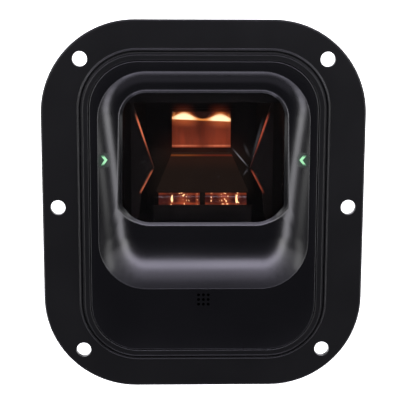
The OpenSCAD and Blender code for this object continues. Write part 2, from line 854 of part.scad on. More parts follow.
module upper_lamp_lens() {
    z0 = upper_lamp_z - lamp_h / 2;
    z1 = upper_lamp_z + lamp_h / 2;
    y0 = y_lamp_board - upper_lens_t;
    color("#d2522a", 0.6) {
        block([-lamp_w / 2, lamp_w / 2], [y0, y_lamp_board], [z0, z1 - 0.3]);
        along_x(-lamp_w / 2, lamp_w / 2)
            polygon([[y0, z1 - 0.4], [y_lamp_board - led_t - 0.3, z1 - 0.4],
                     [y_lamp_board - led_t - 0.3, z1 + upper_led_h], [y0 + 0.8, z1 + upper_led_h]]);
    }
}

module lower_lamp_board() {
    half = mirror_bottom_w / 2;
    back = lower_lens_y + lower_lens_d / 2 + lower_led_t;
    color("#123a26") block([-half, half], [lower_lens_y - lower_board_front, back],
                           [lamp_shelf_z, lamp_shelf_z + lower_pcb_t]);
}

module lower_lamp_leds() {
    z = lamp_shelf_z + lower_pcb_t;
    color("#fff0dc") for (sx = [-1, 1], k = [1, 3]) {
        x = sx * (lower_lens_gap / 2 + (lower_lens_half() - lower_lens_gap / 2) * k / 4);
        block([x - 1.4, x + 1.4], [lower_lens_y - 1, lower_lens_y + 1], [z, z + lower_led_t]);
    }
}

function lower_lens_half() = mirror_bottom_w / 2 - lower_lens_in;

// Pair of clear half-round lenses over the lower lamp
module lower_lamp_lens() {
    z = lamp_shelf_z + lower_pcb_t + lower_led_t + 0.1;
    color("#f0b090", 0.5) for (sx = [-1, 1]) {
        x0 = sx > 0 ? lower_lens_gap / 2 : -lower_lens_half();
        x1 = sx > 0 ? lower_lens_half() : -lower_lens_gap / 2;
        block([x0, x1], [lower_lens_y - lower_lens_d / 2, lower_lens_y + lower_lens_d / 2],
              [z, z + lower_lens_h - lower_lens_d / 2]);
        translate([0, lower_lens_y, z + lower_lens_h - lower_lens_d / 2]) rod_x(lower_lens_d, x0, x1);
    }
}

// Camera

module camera_body() {
    pocket = sensor_w / 2 + 2 * side_room;
    color("#141416") difference() {
        block([-camera_w / 2, camera_w / 2], [mirror_mid_y - camera_w / 2, mirror_mid_y + camera_w / 2],
              [camera_z, camera_z + camera_h]);
        translate([0, mirror_mid_y, camera_z - eps])
            cylinder(d = barrel_d + 2 * thread_room, h = camera_h - 1.4);
        block([-pocket, pocket], [mirror_mid_y - pocket, mirror_mid_y + pocket],
              [camera_z + camera_h - sensor_t - hole_room * 2, camera_z + camera_h + eps]);
    }
}

module lens_barrel() {
    z0 = ceiling_z - barrel_drop;
    color("#1d1d20") translate([0, mirror_mid_y, z0]) difference() {
        cylinder(d = barrel_d, h = camera_z + camera_h - 2 - z0);
        translate([0, 0, -eps]) cylinder(d = barrel_d - 2, h = 1 + eps);
        cylinder(d = barrel_d - 4, h = camera_h * 3);
    }
}

module camera_lens() {
    color("#5d6f86", 0.5) translate([0, mirror_mid_y, ceiling_z - barrel_drop + 1]) rotate([180, 0, 0])
        cylinder(d = barrel_d - 2.1, h = 0.8);
}

module image_sensor() {
    half = sensor_w / 2;
    color("#3a3f46") block([-half, half], [mirror_mid_y - half, mirror_mid_y + half],
                           [camera_z + camera_h - sensor_t, camera_z + camera_h]);
}

module sensor_board() {
    half = camera_w / 2 + 1;
    color("#0f4a2a") block([-half, half], [mirror_mid_y - half, mirror_mid_y + half],
                           [camera_z + camera_h, camera_z + camera_h + camera_board_t]);
}

// Flat ribbon from the sensor board, over the chamber and down to the main board
module sensor_ribbon() {
    z = camera_z + camera_h + camera_board_t;
    bend = 2;
    y1 = y_board - 1;
    centre = [y1 - bend, z + ribbon_t - bend];
    turns = [for (i = [0:8]) 90 * i / 8];
    outer = [for (a = turns) centre + bend * [sin(a), cos(a)]];
    inner = [for (a = turns) centre + (bend - ribbon_t) * [cos(a), sin(a)]];
    z_low = ribbon_socket_z + 1.5;
    color("#c9a24a") along_x(-ribbon_w / 2, ribbon_w / 2)
        polygon(concat([[mirror_mid_y + 4, z], [mirror_mid_y + 4, z + ribbon_t]], outer,
                       [[y1, z_low], [y1 - ribbon_t, z_low]], inner));
}

// Electronics

module main_board() {
    color("#0f4a2a") difference() {
        block([-board_w / 2, board_w / 2], [y_board, y_board_back], [-board_h / 2, board_h / 2]);
        for (z = board_screw_z)
            side_pair([standoff_x, z]) rod_y(screw_d + hole_room, y_board - eps, y_board_back + eps);
    }
}

module board_chips() {
    color("#1a1a1c") {
        for (c = chips)
            block([c[0] - c[2] / 2, c[0] + c[2] / 2], [y_board_back, y_board_back + c[4]],
                  [c[1] - c[3] / 2, c[1] + c[3] / 2]);
        for (x = capacitor_x)
            block([x - capacitor[0] / 2, x + capacitor[0] / 2], [y_board_back, y_board_back + capacitor[2]],
                  [capacitor_z - capacitor[1] / 2, capacitor_z + capacitor[1] / 2]);
    }
}

module board_screws() {
    color("#8d8d90") for (z = board_screw_z) side_pair([standoff_x, z]) screw_y(y_board_back, y_board - 3.5);
}

module ribbon_socket() {
    color("#e6e0d2") difference() {
        block([-ribbon_w / 2 - 1.5, ribbon_w / 2 + 1.5], [y_board - 2, y_board],
              [ribbon_socket_z - 2, ribbon_socket_z + 2]);
        block([-ribbon_w / 2 - 0.1, ribbon_w / 2 + 0.1], [y_board - 1 - ribbon_t - 0.05, y_board - 1 + 0.05],
              [ribbon_socket_z + 1.5, ribbon_socket_z + 2 + eps]);
    }
}

// Modular socket that stands on the main board and opens through the rear cover
module jack() {
    color("#0d0d0e") difference() {
        block([-jack_w / 2, jack_w / 2], [y_board_back, y_rear_face],
              [jack_z - jack_h / 2, jack_z + jack_h / 2]);
        block([-mouth_w / 2, mouth_w / 2], [y_rear_face - mouth_depth, y_rear_face + eps],
              [jack_z - mouth_h / 2, jack_z + mouth_h / 2]);
        block([-3.2, 3.2], [y_rear_face - mouth_depth, y_rear_face + eps],
              [jack_z - mouth_h / 2 - 2.4, jack_z]);
    }
}

module jack_contacts() {
    y0 = y_rear_face - mouth_depth;
    z = jack_z + mouth_h / 2;
    color("#d9a938") for (i = [0:contact_count - 1]) {
        x = (i - (contact_count - 1) / 2) * contact_pitch;
        along_x(x - 0.2, x + 0.2)
            polygon([[y0, z], [y0, z - 0.4], [y0 + 1, z - 1.6], [y0 + 1.4, z - 1.6], [y0 + 7, z]]);
    }
}

// Rear cover

module rear_cover() {
    jack_room = side_room;
    color("#161618") difference() {
        union() {
            along_y(y_cover, y_rear_face) inset(0);
            difference() {
                along_y(y_rear - lip_l, y_cover + eps) inset(wall + side_room);
                along_y(y_rear - lip_l - eps, y_cover) inset(wall + side_room + lip_t);
            }
            intersection() {
                along_y(column_end, y_cover + eps) inset(wall + side_room);
                four_corners(column_x, column_z) rod_y(column_d, column_end, y_cover + eps);
            }
        }
        block([-jack_w / 2 - jack_room, jack_w / 2 + jack_room], [y_rear - lip_l, y_rear_face + eps],
              [jack_z - jack_h / 2 - jack_room, jack_z + jack_h / 2 + jack_room]);
        sweep_round(body_w, body_h, body_r) bevel_section(rear_bevel, y_rear_face, 1, -1);
        four_corners(column_x, column_z) {
            rod_y(screw_d + hole_room, column_end - eps, y_rear_face + eps);
            rod_y(head_d + hole_room, y_rear_face - head_h, y_rear_face + eps);
        }
    }
}

module rear_seal() {
    color("#0a0a0a") difference() {
        along_y(y_rear, y_cover) inset(0.2);
        along_y(y_rear - eps, y_cover + eps) inset(wall);
    }
}

module rear_screws() {
    color("#2a2a2c") four_corners(column_x, column_z) screw_y(y_rear_face - head_h, column_end - 10);
}

mounting_flange();
collar_seal();
collar_screws();
thread_inserts();
housing();
front_cover();
cover_seal();
cover_screws();
window();
window_seal();
chamber_seal();
indicator_left();
indicator_right();
indicator_boards();
indicator_leds();
beeper();
beeper_gasket();
light_chamber();
chamber_screws();
baffle_left();
baffle_right();
fold_mirror();
mirror_wedge();
upper_lamp_board();
upper_lamp_leds();
upper_lamp_lens();
lower_lamp_board();
lower_lamp_leds();
lower_lamp_lens();
camera_body();
lens_barrel();
camera_lens();
image_sensor();
sensor_board();
sensor_ribbon();
main_board();
board_chips();
board_screws();
ribbon_socket();
jack();
jack_contacts();
rear_cover();
rear_seal();
rear_screws();
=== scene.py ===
"""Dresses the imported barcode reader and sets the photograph's camera and light."""
import math

import bpy
import numpy as np
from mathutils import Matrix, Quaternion, Vector


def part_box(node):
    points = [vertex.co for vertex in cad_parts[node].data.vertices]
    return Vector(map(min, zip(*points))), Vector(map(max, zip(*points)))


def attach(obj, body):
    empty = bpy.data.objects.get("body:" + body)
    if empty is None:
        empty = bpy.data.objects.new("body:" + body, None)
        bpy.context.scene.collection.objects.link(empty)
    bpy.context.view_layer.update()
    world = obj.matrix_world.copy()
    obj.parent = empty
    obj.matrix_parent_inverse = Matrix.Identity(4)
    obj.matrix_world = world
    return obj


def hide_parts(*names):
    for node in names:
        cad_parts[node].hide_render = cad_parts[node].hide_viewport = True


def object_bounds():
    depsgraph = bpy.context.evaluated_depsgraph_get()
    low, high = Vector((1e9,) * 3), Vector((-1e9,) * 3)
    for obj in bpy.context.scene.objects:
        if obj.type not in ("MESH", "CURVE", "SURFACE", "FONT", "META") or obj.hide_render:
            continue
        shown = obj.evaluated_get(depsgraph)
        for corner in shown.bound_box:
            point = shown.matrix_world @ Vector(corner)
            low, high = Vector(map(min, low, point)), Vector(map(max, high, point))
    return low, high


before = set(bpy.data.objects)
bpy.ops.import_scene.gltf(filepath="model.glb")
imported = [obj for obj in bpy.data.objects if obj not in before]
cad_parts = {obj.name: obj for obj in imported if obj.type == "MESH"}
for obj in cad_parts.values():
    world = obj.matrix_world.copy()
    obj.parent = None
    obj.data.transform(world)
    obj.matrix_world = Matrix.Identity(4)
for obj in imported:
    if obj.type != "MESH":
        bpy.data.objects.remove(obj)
cad_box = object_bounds()
scene = bpy.context.scene
MM = 0.001


# Shader toolkit
class Value:
    """A socket in a material's node tree. Arithmetic on it adds Math nodes."""

    def __init__(self, shader, socket):
        self.shader = shader
        self.socket = socket

    def _math(self, operation, left, right):
        return self.shader.add("ShaderNodeMath", {"operation": operation}, {0: left, 1: right})

    def __add__(self, other):
        return self._math("ADD", self, other)

    def __radd__(self, other):
        return self._math("ADD", other, self)

    def __sub__(self, other):
        return self._math("SUBTRACT", self, other)

    def __rsub__(self, other):
        return self._math("SUBTRACT", other, self)

    def __mul__(self, other):
        return self._math("MULTIPLY", self, other)

    def __rmul__(self, other):
        return self._math("MULTIPLY", other, self)

    def __truediv__(self, other):
        return self._math("DIVIDE", self, other)

    def __rtruediv__(self, other):
        return self._math("DIVIDE", other, self)

    def __pow__(self, other):
        return self._math("POWER", self, other)

    def __abs__(self):
        return self._math("ABSOLUTE", self, 0.0)

    def larger(self, other):
        """The greater of the two."""
        return self._math("MAXIMUM", self, other)

    def rise(self, start, end):
        """Goes smoothly from 0 at start to 1 at end."""
        settings = {"interpolation_type": "SMOOTHSTEP"}
        return self.shader.add("ShaderNodeMapRange", settings, {0: self, 1: start, 2: end, 3: 0.0, 4: 1.0})


class Shader:
    """A material in the making."""

    def __init__(self, name):
        self.material = bpy.data.materials.new(name)
        self.material.use_nodes = True
        self.tree = self.material.node_tree
        self.tree.nodes.clear()
        self.place = self.add("ShaderNodeTexCoord", output="Object")

    def add(self, kind, settings=None, sockets=None, output=0):
        """Makes a node of any kind: its settings first, then its sockets."""
        node = self.tree.nodes.new(kind)
        for key, value in (settings or {}).items():
            setattr(node, key, value)
        for key, value in (sockets or {}).items():
            if isinstance(value, Value):
                self.tree.links.new(value.socket, node.inputs[key])
            else:
                node.inputs[key].default_value = value
        return Value(self, node.outputs[output]) if node.outputs else None

    def noise(self, size, detail=2.0, stretch=(1.0, 1.0, 1.0)):
        """Noise whose grains are about size metres across, stretched along the axes."""
        scale = tuple(1.0 / (size * factor) for factor in stretch)
        point = self.add("ShaderNodeVectorMath", {"operation": "MULTIPLY"}, {0: self.place, 1: scale})
        return self.add("ShaderNodeTexNoise", None, {"Vector": point, "Scale": 1.0, "Detail": detail})

    def axis(self, name):
        """One coordinate in the part's frame, in metres."""
        return self.add("ShaderNodeSeparateXYZ", None, {0: self.place}, output=name)

    def mix(self, share, first, second):
        """A colour between two."""
        sockets = {0: share, 6: opaque(first), 7: opaque(second)}
        return self.add("ShaderNodeMix", {"data_type": "RGBA"}, sockets, output=2)

    def bump(self, height, distance, edge=0.0):
        """Surface relief; an edge in metres also rounds the piece's sharp edges for the light."""
        sockets = {"Height": height, "Distance": distance}
        if edge:
            sockets["Normal"] = self.add("ShaderNodeBevel", {"samples": 8}, {"Radius": edge})
        return self.add("ShaderNodeBump", None, sockets)

    def principled(self, **sockets):
        """A Principled BSDF; words in a socket's name are joined by underscores."""
        named = {key.replace("_", " "): opaque(value) for key, value in sockets.items()}
        return self.add("ShaderNodeBsdfPrincipled", None, named)

    def finish(self, surface):
        """Closes the material with its surface."""
        self.add("ShaderNodeOutputMaterial", None, {"Surface": surface})
        return self.material


def opaque(value):
    """Adds the alpha that a colour socket wants."""
    return (*value, 1.0) if isinstance(value, tuple) and len(value) == 3 else value


# Materials
def moulding(name, dark, light, rough, grain, depth, sheen=0.5, glow=None, edge=0.0):
    """Moulded plastic with a fine sparked texture and slow changes of sheen.

    A glow function places green light on it; an edge in metres rounds its sharp edges for the light.
    """
    shader = Shader(name)
    near = glow(shader) if glow else 0.0
    fine = shader.noise(grain)
    slow = shader.noise(25 * MM, 3.0)
    surface = shader.principled(
        Base_Color=shader.mix(fine * 0.5 + slow * 0.5, dark, light),
        Roughness=rough + (slow - 0.5) * 0.08 + (fine - 0.5) * 0.05 + near * 0.5,
        Normal=shader.bump(fine, depth, edge),
        Specular_IOR_Level=sheen,
        Emission_Color=shader.mix(near, (0.0, 0.0, 0.0), (0.0, 0.035, 0.01)),
        Emission_Strength=1.0,
    )
    return shader.finish(surface)


def rubber(name):
    """Matt black seal with a faint bloom."""
    shader = Shader(name)
    bloom = shader.noise(1.5 * MM, 4.0)
    surface = shader.principled(
        Base_Color=shader.mix(bloom, (0.004, 0.004, 0.004), (0.009, 0.009, 0.009)),
        Roughness=0.75 + bloom * 0.15,
        Normal=shader.bump(bloom, 0.02 * MM),
    )
    return shader.finish(surface)


def glints(shader):
    """How much of each thin reflection lies at a place on the window."""
    across, up = shader.axis("X"), shader.axis("Z")
    share = 0.0
    for (start_x, start_z), (end_x, end_z), width, level in GLINTS:
        length = math.hypot(end_x - start_x, end_z - start_z)
        step_x, step_z = (end_x - start_x) / length, (end_z - start_z) / length
        from_x, from_z = across - start_x * MM, up - start_z * MM
        along = from_x * step_x + from_z * step_z
        aside = abs(from_x * step_z - from_z * step_x)
        thin = 1.0 - aside.rise(0.0, width * MM)
        share = thin * bell(along, length / 2 * MM, 0.6 * length * MM) * level + share
    return share


def glass(name, tint, deep, smear, lines=None):
    """Polished clear glass with a barely seen smear; a lines function places reflected light on it."""
    shader = Shader(name)
    share = lines(shader) if lines else 0.0
    film = shader.noise(12 * MM, 3.0)
    surface = shader.principled(
        Base_Color=shader.mix(film, tint, deep),
        Roughness=film * smear,
        Transmission_Weight=1.0,
        IOR=GLASS_IOR,
        Emission_Color=shader.mix(share, (0.0, 0.0, 0.0), (0.9, 0.88, 1.0)),
        Emission_Strength=1.0,
    )
    return shader.finish(surface)


def lit(name, core, edge, strength, grain):
    """A lit emitter, a little uneven."""
    shader = Shader(name)
    cloud = shader.noise(grain, 2.0)
    colour = shader.mix(cloud.rise(0.3, 0.7), edge, core)
    surface = shader.principled(
        Base_Color=colour,
        Roughness=0.3 + cloud * 0.1,
        Emission_Color=colour,
        Emission_Strength=strength,
    )
    return shader.finish(surface)


def bell(value, middle, width):
    """1 at the middle, falling smoothly to 0 at width away."""
    return 1.0 - abs(value - middle).rise(0.0, width)


def mark_glow(shader):
    """Where the light of the two indicators falls on the cover."""
    across = bell(abs(shader.axis("X")), MARK_X * MM, MARK_GLOW_X)
    return across * bell(shader.axis("Z"), MARK_Z * MM, MARK_GLOW_Z)


def lit_mark(name):
    """A lit indicator, pale in the middle and dark green at its tips."""
    shader = Shader(name)
    cloud = shader.noise(0.8 * MM)
    tips = abs(shader.axis("Z") - MARK_Z * MM).rise(MARK_TIP_START, MARK_TIP_END)
    colour = shader.mix(cloud, (0.32, 0.8, 0.4), (0.46, 0.95, 0.56))
    colour = shader.mix(tips, colour, (0.006, 0.06, 0.02))
    surface = shader.principled(Base_Color=(0.02, 0.05, 0.03), Roughness=0.3 + cloud * 0.1,
                                Emission_Color=colour, Emission_Strength=0.95)
    return shader.finish(surface)


def lit_lens(name):
    """The upper lamp: two pale flames in a thin bar over a dark red plate with a bright foot."""
    shader = Shader(name)
    side, up = shader.axis("X"), shader.axis("Z")
    streaks = shader.noise(2.5 * MM, 2.0, (1.0, 1.0, 6.0))
    spot = bell(abs(side - LAMP_MIDDLE_X), LAMP_SPOT_X, LAMP_SPOT_W)
    over = up - LAMP_BAR_Z + side * LAMP_TILT
    tall = FLAME_LOW + spot * (0.5 + spot * 0.5) * FLAME_RISE
    flame = over.rise(*FLAME_FOOT) * (1.0 - (over / tall).rise(0.3, 1.1))
    halo = over.rise(*HALO_FOOT) * (1.0 - (over / tall).rise(0.6, 1.9)) * spot
    ends = bell(abs(side), LAMP_END_X, LAMP_END_W) * bell(over, LAMP_END_Z, LAMP_END_H)
    spill = spot * (1.0 - (0.0 - over).rise(0.0, SPILL_H))
    lower = 1.0 - up.rise(LAMP_FOOT_Z, LAMP_BAR_Z)
    shine = streaks.rise(0.3, 0.7) * (0.25 + lower * 0.35)
    foot = bell(up, LAMP_FOOT_Z, LAMP_FOOT_H) * (0.2 + spot * 0.8) * streaks
    glow = shader.mix(shine + spot * (0.3 + lower * 0.3), (0.045, 0.006, 0.002), (0.2, 0.03, 0.011))
    glow = shader.mix(foot, glow, (0.9, 0.26, 0.13))
    glow = shader.mix(spill * 0.5, glow, (0.6, 0.13, 0.04))
    glow = shader.mix(over.rise(0.0, PLATE_FADE), glow, (0.012, 0.003, 0.002))
    glow = shader.mix(halo, glow, (0.2, 0.03, 0.008))
    glow = shader.mix(flame.larger(ends * 0.7), glow, (0.8, 0.27, 0.06))
    glow = shader.mix(flame.rise(0.3, 1.0) * spot.rise(0.1, 0.8), glow, (1.5, 1.05, 0.62))
    surface = shader.principled(Base_Color=(0.02, 0.01, 0.01), Roughness=0.25 + streaks * 0.1,
                                Emission_Color=glow, Emission_Strength=LAMP_STRENGTH)
    return shader.finish(surface)


def sparkling_lens(name):
    """The lower lamp: dark red plastic with bright points in three places and a tall bar at each side."""
    shader = Shader(name)
    low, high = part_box("lower_lamp_lens")
    across = abs(shader.axis("X") - LOWER_MIDDLE_X)
    up = (shader.axis("Z") - low[2]) / (high[2] - low[2])
    points = shader.noise(0.85 * MM, 1.0, (1.0, 1.0, 1.4))
    sheen = shader.noise(3.0 * MM, 1.0, (1.6, 1.0, 0.6))
    warm, hot = 0.0, 0.0
    for place, width in LOWER_SPOTS:
        spot = bell(across, place * MM, width * MM)
        warm = spot.larger(warm)
        hot = (spot.rise(0.0, 0.5) * points + spot * 0.2).larger(hot)
    bar = bell(across, LOWER_BAR_X, LOWER_BAR_W) * bell(up, *LOWER_BAR_UP)
    hot = (bar * (0.8 + points * 0.4)).larger(hot)
    edges = bell(up, *LOWER_FOOT_UP) * 0.5 + bell(up, *LOWER_TOP_UP) * 0.4
    red = (warm * 0.6 + edges) * sheen.rise(0.25, 0.75)
    glow = shader.mix(red, (0.03, 0.004, 0.003), (0.42, 0.07, 0.025))
    glow = shader.mix(hot.rise(0.76, 0.9), glow, (1.9, 1.05, 0.5))
    surface = shader.principled(Base_Color=(0.03, 0.012, 0.01), Roughness=0.1 + sheen * 0.1,
                                Emission_Color=glow, Emission_Strength=LAMP_STRENGTH)
    return shader.finish(surface)


def mirror_with_painted_reflection(name):
    """Front-silvered mirror with a painted reflection of the dark chamber and a painted warm haze of the
    lamps.
    """
    shader = Shader(name)
    film = shader.noise(8 * MM, 3.0)
    up = shader.axis("Z")
    # Painted reflection: the dark chamber, the lamps' warm haze and a lit line
    painted_lamp_haze = shader.mix(film, (0.009, 0.0055, 0.0042), (0.012, 0.007, 0.005))
    painted_lamp_haze = shader.mix(up.rise(MIRROR_LINE_Z - MIRROR_HAZE_H, MIRROR_LINE_Z), painted_lamp_haze, (0.02, 0.008, 0.005))
    line = bell(up, MIRROR_LINE_Z, MIRROR_LINE_H) * (0.5 + film)
    redder = shader.axis("X").rise(*MIRROR_RED_X)
    line_colour = shader.mix(redder, (0.15, 0.036, 0.008), (0.09, 0.014, 0.007))
    surface = shader.principled(Base_Color=shader.mix(film, (0.2, 0.19, 0.19), (0.24, 0.23, 0.23)),
                                Metallic=1.0, Roughness=0.08 + film * 0.05,
                                Emission_Color=shader.mix(line, painted_lamp_haze, line_colour),
                                Emission_Strength=LAMP_STRENGTH)
    return shader.finish(surface)


def lit_chamber(name):
    """Matt black chamber with a little painted lamp light over its upper lamp, under it and beside the
    mirror.
    """
    shader = Shader(name)
    across, up = abs(shader.axis("X")), shader.axis("Z")
    grain = shader.noise(0.4 * MM)
    # Painted light of the lamps on the chamber: over the upper lamp, under it and beside the mirror
    painted_light_over_lamp = bell(across, LAMP_SPOT_X, OVER_LAMP_W) * bell(up, OVER_LAMP_Z, OVER_LAMP_H)
    middle = bell(across, 0.0, UNDER_LAMP_W) * bell(up, UNDER_LAMP_Z, UNDER_LAMP_H)
    beside = (1.0 - across.rise(*BESIDE_X)) * (1.0 - abs(up - BESIDE_Z).rise(*BESIDE_FADE))
    glow = shader.mix(beside, (0.0, 0.0, 0.0), (0.0045, 0.003, 0.0022))
    glow = shader.mix(middle, glow, (0.018, 0.005, 0.003))
    surface = shader.principled(Base_Color=shader.mix(grain, (0.004, 0.003, 0.003), (0.007, 0.006, 0.005)),
                                Roughness=0.5 + grain * 0.1, Specular_IOR_Level=0.15,
                                Normal=shader.bump(grain, 0.01 * MM),
                                Emission_Color=shader.mix(painted_light_over_lamp, glow, (0.05, 0.007, 0.002)),
                                Emission_Strength=LAMP_STRENGTH)
    return shader.finish(surface)


def lit_baffle(name):
    """Dark baffle with the lamps' light painted along its waisted inner edge, redder at the right."""
    shader = Shader(name)
    side = shader.axis("X")
    across, up = abs(side), shader.axis("Z")
    grain = shader.noise(0.5 * MM)
    patches = shader.noise(5 * MM, 2.0)
    above = WAIST_X + (up - WAIST_Z) * WAIST_LEAN_UP
    below = WAIST_X + (WAIST_Z - up) * WAIST_LEAN_DOWN
    edge = above.larger(below)
    low = 1.0 - up.rise(WAIST_Z - BAFFLE_BLEND, WAIST_Z + BAFFLE_BLEND)
    line = 1.0 - ((across - edge) / (BAFFLE_LINE_W + low * BAFFLE_LINE_W)).rise(0.2, 1.0)
    waist = 1.0 - bell(up, WAIST_Z, WAIST_GAP)
    ends = up.rise(*BAFFLE_LOW_END) * (1.0 - up.rise(*BAFFLE_HIGH_END))
    fade = low * 0.65 + (1.0 - low) * (0.08 + bell(up, BAFFLE_BRIGHT_Z, BAFFLE_BRIGHT_H))
    # Painted lamp light along the inner edge
    painted_edge_light = shader.mix(side.rise(-BAFFLE_BLEND, BAFFLE_BLEND), (0.62, 0.15, 0.07), (0.34, 0.06, 0.03))
    share = line * waist * ends * fade * (0.35 + patches)
    surface = shader.principled(Base_Color=shader.mix(grain, (0.006, 0.005, 0.005), (0.01, 0.009, 0.008)),
                                Roughness=0.45 + grain * 0.1, Specular_IOR_Level=0.3,
                                Normal=shader.bump(grain, 0.004 * MM),
                                Emission_Color=shader.mix(share, (0.0008, 0.0005, 0.0004), painted_edge_light),
                                Emission_Strength=LAMP_STRENGTH)
    return shader.finish(surface)


def metal(name, dark, light, rough, grain):
    """Plated or machined metal with fine tool marks."""
    shader = Shader(name)
    marks = shader.noise(grain, 3.0)
    surface = shader.principled(
        Base_Color=shader.mix(marks, dark, light),
        Metallic=1.0,
        Roughness=rough + (marks - 0.5) * 0.15,
        Normal=shader.bump(marks, 0.01 * MM),
    )
    return shader.finish(surface)


def solder_mask(name):
    """Green board with the shadows of its tracks."""
    shader = Shader(name)
    tracks = abs(shader.noise(1.3 * MM) - 0.5).rise(0.02, 0.09)
    surface = shader.principled(
        Base_Color=shader.mix(tracks, (0.03, 0.15, 0.07), (0.012, 0.08, 0.035)),
        Roughness=0.35 + tracks * 0.1,
        Normal=shader.bump(tracks, 0.03 * MM),
    )
    return shader.finish(surface)


# Strength of the light on the lamps, mirror, chamber and baffles
LAMP_STRENGTH = 1.6
# Refraction of the panes and the camera's lens
GLASS_IOR = 1.46
# Middles of the two indicators, in millimetres
MARK_X, MARK_Z = 33.5, 16.15
# Reach of the indicators' light on the cover and the darkening of their tips, in metres
MARK_GLOW_X, MARK_GLOW_Z = 2.6 * MM, 3.2 * MM
MARK_TIP_START, MARK_TIP_END = 0.9 * MM, 1.75 * MM
# Upper lamp, in metres: its flames, bright ends, bar and foot, and the bar's tilt
LAMP_MIDDLE_X, LAMP_SPOT_X, LAMP_SPOT_W = 0.4 * MM, 6.6 * MM, 7.0 * MM
LAMP_END_X, LAMP_END_W, LAMP_END_Z, LAMP_END_H = 9.9 * MM, 0.9 * MM, 1.0 * MM, 2.2 * MM
LAMP_BAR_Z, LAMP_FOOT_Z, LAMP_FOOT_H = 26.3 * MM, 17.0 * MM, 0.5 * MM
FLAME_LOW, FLAME_RISE, SPILL_H = 0.7 * MM, 3.0 * MM, 3.4 * MM
FLAME_FOOT, HALO_FOOT, PLATE_FADE = (-0.4 * MM, 0.3 * MM), (-0.4 * MM, 0.2 * MM), 0.5 * MM
LAMP_TILT = 0.04
# Lower lamp, in metres: its middle and the tall bars
LOWER_MIDDLE_X, LOWER_BAR_X, LOWER_BAR_W = 0.6 * MM, 11.3 * MM, 1.5 * MM
# Middle and reach of the bars, the lit foot and the lit top, as shares of the lens's height
LOWER_BAR_UP, LOWER_FOOT_UP, LOWER_TOP_UP = (0.5, 1.2), (0.12, 0.2), (0.95, 0.15)
# Places and widths of the lower lamp's bright points from its middle, in millimetres
LOWER_SPOTS = [(11.6, 1.5), (7.2, 3.6), (2.6, 0.8)]
# Painted lit line and haze on the mirror, in metres, and where the line turns from orange to red
MIRROR_LINE_Z, MIRROR_LINE_H, MIRROR_HAZE_H = 14.0 * MM, 0.5 * MM, 6.0 * MM
MIRROR_RED_X = (-6.0 * MM, 2.0 * MM)
# Painted lamp light on the chamber over the upper lamp, under it and beside the mirror, in metres
OVER_LAMP_Z, OVER_LAMP_W, OVER_LAMP_H = LAMP_BAR_Z + 2.5 * MM, 5.0 * MM, 4.0 * MM
UNDER_LAMP_Z, UNDER_LAMP_W, UNDER_LAMP_H = LAMP_FOOT_Z - 2.0 * MM, 20.0 * MM, 9.0 * MM
BESIDE_X, BESIDE_Z, BESIDE_FADE = (15.0 * MM, 22.0 * MM), 7.0 * MM, (6.0 * MM, 11.0 * MM)
# Waisted edges of the baffles and the painted light on them, in metres; leans are sideways per up
WAIST_X, WAIST_Z, WAIST_GAP = 17.0 * MM, 10.5 * MM, 2.0 * MM
WAIST_LEAN_UP, WAIST_LEAN_DOWN = 0.34, 0.53
BAFFLE_LINE_W, BAFFLE_BRIGHT_Z, BAFFLE_BRIGHT_H = 0.5 * MM, 24.0 * MM, 10.0 * MM
BAFFLE_LOW_END, BAFFLE_HIGH_END = (1.0 * MM, 3.0 * MM), (27.0 * MM, 31.0 * MM)
BAFFLE_BLEND = 1.0 * MM

# Thin reflections at the window's right: start, end and width in millimetres, and brightness
GLINTS = [((10.0, 19.4), (15.3, 13.2), 0.35, 0.1), ((20.2, 29.9), (16.6, 15.6), 0.7, 0.022),
          ((13.7, 10.0), (15.4, 12.5), 0.4, 0.03), ((13.7, 21.3), (16.0, 16.3), 0.7, 0.014)]

# Dark and light shade of the black mouldings and the round of their edges in metres
BLACK = ((0.002, 0.002, 0.0022), (0.0034, 0.0034, 0.0036))
COVER_BLACK = ((0.0016, 0.0016, 0.002), (0.003, 0.003, 0.0035))
EDGE_SHINE = 0.35 * MM

